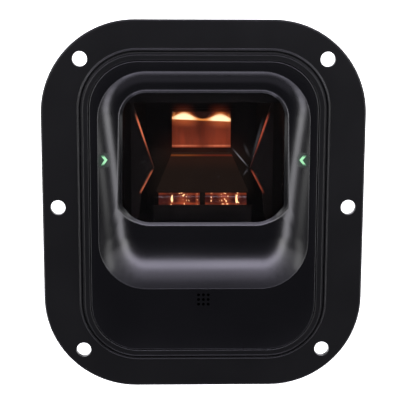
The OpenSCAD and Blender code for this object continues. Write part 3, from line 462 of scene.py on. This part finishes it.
# The materials by slot
FINISHES = {
    "flange_black": moulding("satin_flange", *BLACK, 0.3, 0.35 * MM, 0.004 * MM, 0.48, edge=EDGE_SHINE),
    "housing_black": moulding("textured_housing", *BLACK, 0.32, 0.3 * MM, 0.006 * MM, 0.38,
                              edge=EDGE_SHINE),
    "cover_black": moulding("satin_cover", *COVER_BLACK, 0.22, 0.3 * MM, 0.002 * MM, glow=mark_glow),
    "seal_rubber": rubber("seal_rubber"),
    "window_glass": glass("window_glass", (0.74, 0.72, 0.72), (0.7, 0.68, 0.68), 0.02, glints),
    "indicator_green": lit_mark("indicator_green"),
    "board_green": solder_mask("board_green"),
    "led_green": lit("led_green", (0.6, 1.0, 0.7), (0.3, 0.95, 0.45), 5.0, 0.5 * MM),
    "led_red": lit("led_red", (1.0, 0.5, 0.2), (1.0, 0.25, 0.08), 8.0, 0.5 * MM),
    "lens_red": lit_lens("lens_red"),
    "lens_clear": sparkling_lens("lens_clear"),
    "mirror_coat": mirror_with_painted_reflection("mirror_coat"),
    "chamber_black": lit_chamber("chamber_black"),
    "baffle_dark": lit_baffle("baffle_dark"),
    "camera_black": metal("camera_black", (0.015, 0.015, 0.016), (0.03, 0.03, 0.032), 0.4, 0.4 * MM),
    "camera_glass": glass("camera_glass", (0.8, 0.88, 1.0), (0.7, 0.8, 0.95), 0.02),
    "sensor_grey": moulding("sensor_grey", (0.06, 0.065, 0.08), (0.1, 0.11, 0.13), 0.2,
                            0.2 * MM, 0.001 * MM),
    "ribbon_amber": moulding("ribbon_amber", (0.4, 0.2, 0.03), (0.6, 0.34, 0.07), 0.3,
                             0.6 * MM, 0.002 * MM),
    "chip_black": moulding("chip_black", (0.012, 0.012, 0.013), (0.022, 0.022, 0.024), 0.55,
                           0.2 * MM, 0.006 * MM),
    "socket_white": moulding("socket_white", (0.6, 0.57, 0.48), (0.72, 0.69, 0.6), 0.45,
                             0.4 * MM, 0.003 * MM),
    "jack_black": moulding("jack_black", (0.006, 0.006, 0.006), (0.011, 0.011, 0.011), 0.35,
                           0.3 * MM, 0.004 * MM),
    "contact_gold": metal("contact_gold", (0.7, 0.45, 0.14), (0.85, 0.6, 0.24), 0.25, 0.3 * MM),
    "brass": metal("brass", (0.5, 0.36, 0.13), (0.68, 0.5, 0.2), 0.35, 0.25 * MM),
    "screw_steel": metal("screw_steel", (0.42, 0.42, 0.43), (0.58, 0.58, 0.59), 0.3, 0.25 * MM),
    "screw_black": metal("screw_black", (0.02, 0.02, 0.021), (0.045, 0.045, 0.047), 0.4, 0.25 * MM),
}
# The CAD nodes that wear each of them
NODE_SLOTS = {
    "flange_black": ["mounting_flange"],
    "housing_black": ["housing", "rear_cover"],
    "cover_black": ["front_cover"],
    "seal_rubber": ["collar_seal", "cover_seal", "window_seal", "chamber_seal", "beeper_gasket",
                    "rear_seal"],
    "window_glass": ["window"],
    "indicator_green": ["indicator_left", "indicator_right"],
    "board_green": ["indicator_boards", "sensor_board", "main_board"],
    "led_green": ["indicator_leds"],
    "led_red": ["upper_lamp_leds", "lower_lamp_leds"],
    "lens_red": ["upper_lamp_lens"],
    "lens_clear": ["lower_lamp_lens"],
    "mirror_coat": ["fold_mirror"],
    "chamber_black": ["light_chamber", "mirror_wedge", "upper_lamp_board", "lower_lamp_board"],
    "baffle_dark": ["baffle_left", "baffle_right"],
    "camera_black": ["camera_body", "lens_barrel"],
    "camera_glass": ["camera_lens"],
    "sensor_grey": ["image_sensor"],
    "ribbon_amber": ["sensor_ribbon"],
    "chip_black": ["board_chips", "beeper"],
    "socket_white": ["ribbon_socket"],
    "jack_black": ["jack"],
    "contact_gold": ["jack_contacts"],
    "brass": ["thread_inserts"],
    "screw_steel": ["cover_screws", "chamber_screws", "board_screws"],
    "screw_black": ["collar_screws", "rear_screws"],
}


def dress(piece, slot):
    """Gives a piece the one finish of its slot."""
    piece.data.materials.clear()
    piece.data.materials.append(FINISHES[slot])


for slot, names in NODE_SLOTS.items():
    for name in names:
        dress(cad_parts[name], slot)


# Front cover: the recess as one smooth skin
def loop_rounded(width, height, radius, middle_z):
    """Stations round a rounded rectangle from the middle of its right side up, as points and normals."""
    points, normals = [], []
    for corner in range(4):
        sign_x = 1 if corner in (0, 3) else -1
        sign_z = 1 if corner in (0, 1) else -1
        centre = np.array([sign_x * (width / 2 - radius), middle_z + sign_z * (height / 2 - radius)])
        for step in range(CORNER_STEPS + 1):
            angle = math.radians(90 * (corner + step / CORNER_STEPS))
            normals.append([math.cos(angle), math.sin(angle)])
            points.append(centre + radius * np.array(normals[-1]))
    return fill_sides(np.array(points)), fill_sides(np.array(normals))


def fill_sides(corners):
    """Adds the stations of the four straight sides between the corners' own."""
    rows = []
    per_corner = CORNER_STEPS + 1
    for corner in range(4):
        own = corners[corner * per_corner:(corner + 1) * per_corner]
        after = corners[(corner + 1) * per_corner % len(corners)]
        rows.append(own)
        shares = np.arange(1, SIDE_STEPS)[:, None] / SIDE_STEPS
        rows.append(own[-1] * (1 - shares) + after * shares)
    return np.concatenate(rows)


def loop_opening():
    """The same stations on the scan opening: round top corners, leaning sides, curved chin."""
    half_top, half_low = OPEN_W_TOP / 2, OPEN_W_BOTTOM / 2
    top, low = OPEN_Z + OPEN_H / 2, OPEN_Z - OPEN_H / 2
    kink = low + CHIN_RISE
    lean = math.atan2(half_low - half_top, top - kink)
    corner_x = half_top - OPEN_R * (1 - math.sin(lean)) / math.cos(lean)
    slope = math.radians(CHIN_ANGLE)
    chin_x = half_low - CHIN_RISE / math.tan(slope)
    chin_r = CHIN_RISE / math.sin(slope) / math.tan(slope / 2) * CHIN_ROUND
    shares = np.arange(CORNER_STEPS + 1) / CORNER_STEPS
    turn = lean + (math.pi / 2 - lean) * shares
    right_top = np.stack([corner_x + OPEN_R * np.cos(turn), top - OPEN_R + OPEN_R * np.sin(turn)], 1)
    swing = slope * shares
    middle_x = chin_x - chin_r * math.tan(slope / 2)
    right_chin = np.stack([middle_x + chin_r * np.sin(swing), low + chin_r * (1 - np.cos(swing))], 1)
    right_chin[-1] = half_low, kink
    flip = np.array([-1, 1])
    rows = [right_top, right_top[::-1] * flip, right_chin[::-1] * flip, right_chin]
    return fill_sides(np.concatenate(rows))


def miter(loop):
    """Outward offset directions of a closed loop, one unit from both sides of each corner."""
    ahead = np.roll(loop, -1, 0) - loop
    ahead /= np.linalg.norm(ahead, axis=1, keepdims=True)
    out_ahead = np.stack([ahead[:, 1], -ahead[:, 0]], 1)
    out_behind = np.roll(out_ahead, 1, 0)
    both = out_ahead + out_behind
    return both / (1 + np.sum(out_ahead * out_behind, 1, keepdims=True))


def floor_depth(z):
    """Depth of the recess's sloping floor at a height."""
    return DISH_TOP + DISH_DROP / RIM_H * (RIM_Z + RIM_H / 2 - z)


def wall_run(z):
    """Width of the curved wall at a height on the rim."""
    return RUN_TOP + (RUN_BOTTOM - RUN_TOP) * (RIM_Z + RIM_H / 2 - z) / RIM_H


def to_rim(points):
    """Distance in from the rim and the outward direction there."""
    core = np.array([RIM_W / 2 - RIM_R, RIM_H / 2 - RIM_R])
    local = points - np.array([0.0, RIM_Z])
    over = np.abs(local) - core
    outside = np.maximum(over, 0)
    length = np.linalg.norm(outside, axis=1)
    round_part = length > 1e-6
    normal = np.where(over[:, :1] > over[:, 1:], np.array([[1.0, 0.0]]), np.array([[0.0, 1.0]]))
    normal[round_part] = outside[round_part] / length[round_part, None]
    inside = np.minimum(np.max(over, axis=1), 0)
    return RIM_R - length - inside, normal * np.where(local < 0, -1, 1)


def recess_depth(points, grow=0.0, drop=0.0):
    """Depth of the recess behind the front face, or of its back when grown and dropped."""
    inward, normal = to_rim(points)
    rim = points + normal * inward[:, None]
    run = wall_run(rim[:, 1])
    share = np.clip((inward + grow) / run, 0, 1)
    foot_z = rim[:, 1] - normal[:, 1] * (run - grow)
    wall = floor_depth(foot_z) * (1 - (1 - share) ** 2)
    return np.where(share < 1, wall, floor_depth(points[:, 1])) + drop


def rim_round(z):
    """Half width of the rim's round, finer at the bottom than at the top."""
    return np.interp(z, [RIM_Z - RIM_H / 2, RIM_Z], [RIM_ROUND_LOW, RIM_ROUND])


def rim_rounding(points):
    """What a small round adds to the depth where the face turns into the recess."""
    inward, normal = to_rim(points)
    rim_z = points[:, 1] + normal[:, 1] * inward
    run = wall_run(rim_z)
    slope = 2 * floor_depth(rim_z - normal[:, 1] * run) / run
    half = rim_round(rim_z)
    near = np.abs(inward) < half
    curve = (inward + half) ** 2 / (4 * half) - np.maximum(inward, 0)
    return np.where(near, slope * curve, 0.0)


def lip_fall(share):
    """What the opening's lip adds to the depth: a short round, then a leaning flat."""
    if share < LIP_BEND:
        fall = share ** 2 / (2 * LIP_BEND)
    else:
        fall = share - LIP_BEND / 2
    return fall * LIP_W * math.tan(math.radians(LIP_TILT))


def cover_loops():
    """The cover's section, loop by loop, from the back of its outer edge over the front and back again."""
    low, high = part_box("front_cover")
    front = low[1] / MM
    plate_w, plate_h = (high[0] - low[0]) / MM, (high[2] - low[2]) / MM
    plate, plate_out = loop_rounded(plate_w, plate_h, PLATE_R, 0.0)
    rim, rim_out = loop_rounded(RIM_W, RIM_H, RIM_R, RIM_Z)
    opening = loop_opening()
    opening_out = miter(opening)
    lip = opening + opening_out * LIP_W
    loops = [(plate, np.full(len(plate), front + COVER_T))]
    for step in range(EDGE_STEPS + 1):
        angle = math.pi / 2 * step / EDGE_STEPS
        edge = plate - plate_out * EDGE_ROUND * (1 - math.cos(angle))
        loops.append((edge, np.full(len(plate), front + EDGE_ROUND * (1 - math.sin(angle)))))
    half_round = rim_round(rim[:, 1])[:, None]
    for share in np.linspace(-1, 1, RIM_STEPS):
        loop = rim - rim_out * half_round * share
        depth = np.where(share > 0, recess_depth(loop), 0.0) + rim_rounding(loop)
        loops.append((loop, front + depth))
    start = loops[-1][0]
    for step in range(1, WALL_STEPS + 1):
        loop = start + (lip - start) * step / WALL_STEPS
        loops.append((loop, front + recess_depth(loop)))
    for step in range(1, LIP_STEPS + 1):
        share = step / LIP_STEPS
        loop = opening + opening_out * LIP_W * (1 - share)
        loops.append((loop, front + recess_depth(loop) + lip_fall(share)))
    loops.append((opening, front + floor_depth(opening[:, 1]) + DISH_WALL))
    seat_w = OPEN_W_BOTTOM + 2 * FRAME_LAP
    seat_h = OPEN_H + 2 * FRAME_LAP + SEAT_EXTRA
    seat, _ = loop_rounded(seat_w, seat_h, SEAT_R, OPEN_Z)
    loops.append((seat, front + floor_depth(seat[:, 1]) + DISH_WALL))
    back = rim + rim_out * DISH_SIDE
    for step in range(BACK_STEPS + 1):
        loop = seat + (back - seat) * step / BACK_STEPS
        depth = recess_depth(loop, DISH_SIDE, DISH_WALL - SEAT_PROUD)
        loops.append((loop, front + np.maximum(depth, COVER_T)))
    return loops


def closed_ring(name, loops):
    """A closed skin through loops that all have the same stations."""
    count = len(loops[0][0])
    points = np.concatenate([np.stack([loop[:, 0], y, loop[:, 1]], 1) for loop, y in loops]) * MM
    faces = []
    for row in range(len(loops)):
        after = (row + 1) % len(loops)
        for station in range(count):
            beside = (station + 1) % count
            faces.append((row * count + station, row * count + beside,
                          after * count + beside, after * count + station))
    mesh = bpy.data.meshes.new(name)
    mesh.from_pydata(points.tolist(), [], faces)
    return link(name, mesh)


def link(name, mesh):
    """Puts a mesh into the scene as a piece."""
    piece = bpy.data.objects.new(name, mesh)
    scene.collection.objects.link(piece)
    return piece


def prism(outline, y_low, y_high):
    """A closed prism along Y from an outline in millimetres, as points in metres and faces."""
    count = len(outline)
    points = [(x * MM, y * MM, z * MM) for y in (y_low, y_high) for x, z in outline]
    faces = [tuple(range(count)), tuple(range(2 * count - 1, count - 1, -1))]
    faces += [(i, i + count, (i + 1) % count + count, (i + 1) % count) for i in range(count)]
    return points, faces


def combine(piece, prisms, operation):
    """Joins prisms to a piece or takes them out of it, for good."""
    points, faces = [], []
    for own_points, own_faces in prisms:
        faces += [tuple(index + len(points) for index in face) for face in own_faces]
        points += own_points
    mesh = bpy.data.meshes.new("prisms")
    mesh.from_pydata(points, [], faces)
    other = link("prisms", mesh)
    change = piece.modifiers.new("combine", "BOOLEAN")
    change.operation = operation
    change.object = other
    change.solver = "EXACT"
    bpy.context.view_layer.update()
    changed = piece.evaluated_get(bpy.context.evaluated_depsgraph_get())
    result = bpy.data.meshes.new_from_object(changed)
    piece.modifiers.clear()
    piece.data = result
    bpy.data.objects.remove(other)


def circle(x, z, diameter):
    """A round outline."""
    turns = [2 * math.pi * i / CIRCLE_STEPS for i in range(CIRCLE_STEPS)]
    return [(x + diameter / 2 * math.cos(t), z + diameter / 2 * math.sin(t)) for t in turns]


def chevron(side, room):
    """The indicator's outline with room round it; side is -1 on the left, where it points right."""
    half = MARK_H / 2 + room
    stroke = MARK_STROKE + 2 * room
    outer, tip = -MARK_W / 2 - room, MARK_W / 2 + room
    shape = [(outer, -half), (outer + stroke, -half), (tip, 0),
             (outer + stroke, half), (outer, half), (tip - stroke, 0)]
    return [(-side * x + side * MARK_X, z + MARK_Z) for x, z in shape][::-side]


def smooth(piece, angle):
    """Smooth shading that breaks at real edges."""
    piece.data.polygons.foreach_set("use_smooth", [True] * len(piece.data.polygons))
    piece.data.set_sharp_from_angle(angle=math.radians(angle))


# Sizes that the CAD gives the cover, in millimetres
PLATE_R = 16.2
COVER_T = 2.0
RIM_W, RIM_H, RIM_Z, RIM_R = 71.0, 74.05, 9.125, 16.25
DISH_TOP, DISH_DROP = 1.55, 8.2
RUN_TOP, RUN_BOTTOM = 6.4, 15.5
DISH_WALL, DISH_SIDE, SEAT_PROUD = 1.8, 1.35, 0.15
OPEN_W_TOP, OPEN_W_BOTTOM, OPEN_H, OPEN_Z, OPEN_R = 54.4, 55.6, 45.1, 16.15, 8.0
CHIN_RISE, CHIN_ANGLE, CHIN_ROUND = 6.0, 52.0, 0.65
FRAME_LAP, SEAT_EXTRA, SEAT_R = 2.2, 1.2, 8.2
MARK_W, MARK_H, MARK_STROKE = 2.1, 3.4, 0.9
MARK_ROOM = 0.08
SOUND_D, SOUND_PITCH, SOUND_Z = 1.0, 1.65, -31.7
BOSS_D, BORE_D = 4.6, 2.9
# Across, up, front end inside the wall, rear end and start of the bore of each pair of bosses
BOSSES = [(33.1, 32.39, -1.48, 9.05, 5.05), (22.0, -13.9, 4.6, 9.05, 5.05),
          (26.4, -39.3, -2.2, 5.0, -1.0)]
# Where the cutters start and end along Y so that they pass right through, in millimetres
CUT_FRONT, SOUND_CUT_END, MARK_CUT_END, BORE_PAST = -6.0, 0.0, 8.0, 1.0
# Rounds that only the eye needs, in millimetres, and the fineness of the skin
RIM_ROUND, RIM_ROUND_LOW, EDGE_ROUND = 0.18, 0.06, 0.25
LIP_W, LIP_TILT, LIP_BEND = 1.6, 38.0, 0.5
CORNER_STEPS, SIDE_STEPS = 24, 24
WALL_STEPS, RIM_STEPS, EDGE_STEPS, LIP_STEPS, BACK_STEPS = 40, 7, 4, 8, 8
CIRCLE_STEPS = 24
# Turn between faces that still shades smoothly, in degrees
SMOOTH_TURN = 38

cover = closed_ring("front_cover_skin", cover_loops())
bosses, cutters = [], []
for x, z, start, rear, bore_start in BOSSES:
    for side in (-1, 1):
        bosses.append(prism(circle(side * x, z, BOSS_D), start, rear))
        cutters.append(prism(circle(side * x, z, BORE_D), bore_start, rear + BORE_PAST))
for i in (-1, 0, 1):
    for k in (-1, 0, 1):
        hole = circle(i * SOUND_PITCH, SOUND_Z + k * SOUND_PITCH, SOUND_D)
        cutters.append(prism(hole, CUT_FRONT, SOUND_CUT_END))
cutters += [prism(chevron(side, MARK_ROOM), CUT_FRONT, MARK_CUT_END) for side in (-1, 1)]
combine(cover, bosses, "UNION")
combine(cover, cutters, "DIFFERENCE")
smooth(cover, SMOOTH_TURN)
dress(cover, "cover_black")
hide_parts("front_cover")
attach(cover, "root")


# Stage: a pale floor and backdrop, a pale room and soft lights
def stage_material(name, colour, strength):
    """A pale matt sheet that glows, with a slow drift of shade."""
    shader = Shader(name)
    drift = shader.noise(0.8, 1.0)
    shade = shader.mix(drift, colour, tuple(0.99 * part for part in colour))
    surface = shader.principled(Base_Color=shade, Roughness=0.9,
                                Emission_Color=shade, Emission_Strength=strength)
    return shader.finish(surface)


def sheet(name, corners, material):
    """A flat piece of the stage."""
    mesh = bpy.data.meshes.new(name)
    mesh.from_pydata(corners, [], [tuple(range(len(corners)))])
    mesh.materials.append(material)
    piece = link(name, mesh)
    return piece


def camera_only(piece):
    """Keeps a sheet out of reflections and shadows, so that the part stays as dark as in the photograph."""
    for ray in ("diffuse", "glossy", "transmission", "volume_scatter", "shadow"):
        setattr(piece, "visible_" + ray, False)


# Sizes of the stage in metres
FLOOR_DROP = 60 * MM
FLOOR_Z = cad_box[0][2] - FLOOR_DROP
FLOOR_Y, BACK_Y = 0.1, 0.9
HALF_STAGE = 2.0
STAGE_COLOUR, STAGE_GLOW = (0.95, 0.95, 0.95), 0.9
pale = stage_material("pale_stage", STAGE_COLOUR, STAGE_GLOW)
sheet("floor", [(-HALF_STAGE, FLOOR_Y, FLOOR_Z), (HALF_STAGE, FLOOR_Y, FLOOR_Z),
                (HALF_STAGE, BACK_Y, FLOOR_Z), (-HALF_STAGE, BACK_Y, FLOOR_Z)], pale)
sheet("backdrop", [(-HALF_STAGE, BACK_Y, FLOOR_Z), (HALF_STAGE, BACK_Y, FLOOR_Z),
                   (HALF_STAGE, BACK_Y, HALF_STAGE), (-HALF_STAGE, BACK_Y, HALF_STAGE)], pale)

# A pale room beyond them for the other views, in metres
ROOM, ROOM_FLOOR_Z = 4.0, -1.5
ring = [(-ROOM, -ROOM), (ROOM, -ROOM), (ROOM, ROOM), (-ROOM, ROOM)]
camera_only(sheet("room_floor", [(x, y, ROOM_FLOOR_Z) for x, y in ring], pale))
for wall in range(4):
    (x0, y0), (x1, y1) = ring[wall], ring[(wall + 1) % 4]
    corners = [(x0, y0, ROOM_FLOOR_Z), (x1, y1, ROOM_FLOOR_Z), (x1, y1, ROOM), (x0, y0, ROOM)]
    camera_only(sheet("room_wall_%d" % wall, corners, pale))


# Tint of the light from above and below, and the distance of every light in metres
VIOLET = (0.98, 0.94, 1.16)
LIGHT_DISTANCE = 0.9


def softbox(name, azimuth, elevation, width, height, radiance, tint=(1.0, 1.0, 1.0)):
    """A rectangular light that faces the part; angles are degrees from the front face's axis."""
    data = bpy.data.lights.new(name, "AREA")
    data.shape = "RECTANGLE"
    data.size = width
    data.size_y = height
    data.energy = radiance * width * height * math.pi
    data.color = tint
    light = bpy.data.objects.new(name, data)
    scene.collection.objects.link(light)
    turn, lift = math.radians(azimuth), math.radians(elevation)
    away = Vector((math.sin(turn) * math.cos(lift), -math.cos(turn) * math.cos(lift), math.sin(lift)))
    light.location = away * LIGHT_DISTANCE
    light.rotation_euler = (-away).to_track_quat("-Z", "Y").to_euler()


def ring_box(name, turn, off_axis, size, radiance):
    """A square light on a ring round the view axis; turn counts from the right side over the top."""
    turn, off_axis = math.radians(turn), math.radians(off_axis)
    lean = abs(math.sin(turn))
    tint = tuple(1 + (part - 1) * lean for part in VIOLET)
    azimuth = math.atan2(math.sin(off_axis) * math.cos(turn), math.cos(off_axis))
    elevation = math.asin(math.sin(off_axis) * math.sin(turn))
    softbox(name, math.degrees(azimuth), math.degrees(elevation), size, size, radiance, tint)


# An arch of boxes from the right side over the top to the left; its low ends lie farther out and are dimmer
ARCH_COUNT, ARCH_START, ARCH_SPAN = 27, -80, 340
ARCH_OFF_AXIS, ARCH_SPREAD, ARCH_SIZE = 44, 28, 0.24
ARCH_RADIANCE, ARCH_DIMMING, ARCH_DIM_FROM = 4.05, 1.8, 0.5
for step in range(ARCH_COUNT):
    turn = ARCH_START + ARCH_SPAN * step / (ARCH_COUNT - 1)
    below = max(-math.sin(math.radians(turn)), 0.0)
    dimmed = 1 - ARCH_DIMMING * max(below - ARCH_DIM_FROM, 0.0)
    off_axis = ARCH_OFF_AXIS + ARCH_SPREAD * below
    ring_box("arch_%02d" % step, turn, off_axis, ARCH_SIZE, ARCH_RADIANCE * dimmed)

# Weaker fills far out at both sides, with a darker gap between them and the arch
FILL_AZIMUTH, FILL_ELEVATION = 78, 9
FILL_W, FILL_H, FILL_RADIANCE = 0.15, 0.75, 2.3
for side, name in ((-1, "left_fill"), (1, "right_fill")):
    softbox(name, side * FILL_AZIMUTH, FILL_ELEVATION, FILL_W, FILL_H, FILL_RADIANCE)

# Two weak half rings over the part, outside the arch; the far one is brightest at the sides
OUTER_COUNT, OUTER_TURN = 9, 18
FRONT_OFF_AXIS, FRONT_SIZE, FRONT_RADIANCE = 58, 0.26, 1.5
BACK_OFF_AXIS, BACK_SIZE, BACK_RADIANCE, BACK_AT_SIDES = 75, 0.28, 0.3, 0.9
for step in range(OUTER_COUNT):
    turn = OUTER_TURN * (step + 1)
    ring_box("outer_front_%d" % step, turn, FRONT_OFF_AXIS, FRONT_SIZE, FRONT_RADIANCE)
    radiance = BACK_RADIANCE + BACK_AT_SIDES * math.cos(math.radians(turn)) ** 2
    ring_box("outer_back_%d" % step, turn, BACK_OFF_AXIS, BACK_SIZE, radiance)

# The glow of a pale table below: name, elevation and radiance, stronger under the part than before it
TABLE_W, TABLE_H = 0.8, 0.3
TABLE_LIGHTS = [("table_near", -75, 2.6), ("table_far", -44, 0.32)]
for name, elevation, radiance in TABLE_LIGHTS:
    softbox(name, 0, elevation, TABLE_W, TABLE_H, radiance, VIOLET)

# A very weak light from all round
WORLD_COLOUR = (0.03, 0.03, 0.033)
world = bpy.data.worlds.new("studio")
world.use_nodes = True
world.node_tree.nodes["Background"].inputs["Color"].default_value = opaque(WORLD_COLOUR)
scene.world = world
scene.view_settings.view_transform = "Standard"

# The photograph's camera, fitted to the six flange holes
SENSOR = 36.0
FOCAL_PIXELS = 1103.1
PHOTO_PIXELS = 400.0
CAMERA_AT = Vector((-10.44 * MM, -370 * MM, 67.46 * MM))
AIM_AT = Vector((-1.22 * MM, -2 * MM, 2.57 * MM))
ROLL = math.radians(0.19)
camera_data = bpy.data.cameras.new("photo_camera")
camera_data.sensor_width = SENSOR
camera_data.lens = SENSOR * FOCAL_PIXELS / PHOTO_PIXELS
camera = bpy.data.objects.new("photo_camera", camera_data)
scene.collection.objects.link(camera)
camera.location = CAMERA_AT
facing = (AIM_AT - CAMERA_AT).to_track_quat("-Z", "Y")
camera.rotation_euler = (facing @ Quaternion((0.0, 0.0, 1.0), ROLL)).to_euler()
scene.camera = camera
